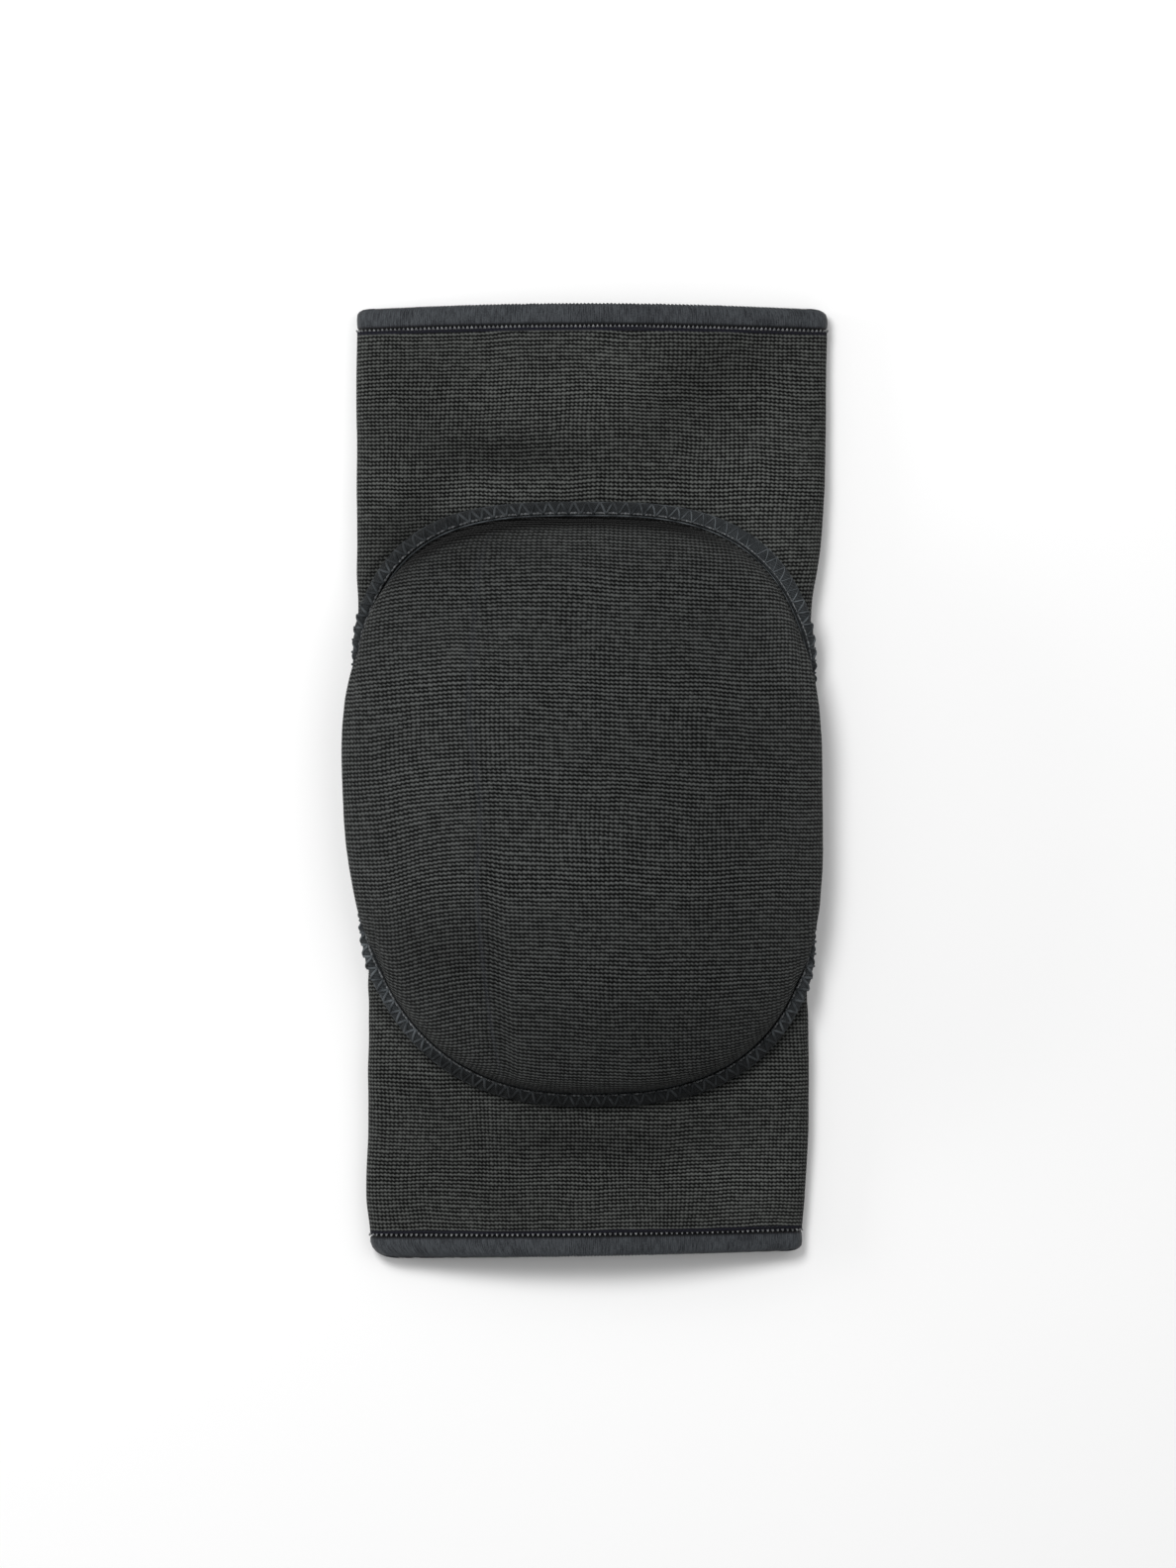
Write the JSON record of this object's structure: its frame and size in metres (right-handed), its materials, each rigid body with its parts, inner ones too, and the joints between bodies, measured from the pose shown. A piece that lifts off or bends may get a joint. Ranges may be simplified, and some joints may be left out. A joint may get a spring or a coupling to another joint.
{
  "type": "volleyball knee pad",
  "caption": "Knitted sleeve for the knee, open at both ends, with an oval domed foam pad under a knitted cover on its front and a smooth hem at each mouth.",
  "frame": {"origin": "middle of the pad's box, on the surface that its back rests on", "axes": "+X to the right of the picture, +Y up the leg to the thigh mouth, +Z out of the front of the knee"},
  "size_m": [0.1274, 0.25, 0.0483],
  "materials": {
    "knit": "coarse elastic knit, charcoal black, matt",
    "cover": "coarse elastic knit stretched over foam, charcoal black, matt",
    "hem": "fine smooth jersey, blue-grey charcoal",
    "thread": "overlocked thread, black with a soft sheen",
    "foam": "closed-cell foam, matt, hidden"
  },
  "bodies": {
    "root": {"knee_sleeve": "knit", "thigh_hem": "hem", "calf_hem": "hem", "foam_pad": "foam", "pad_cover": "cover", "pad_seam": "thread"}
  },
  "joints": []
}
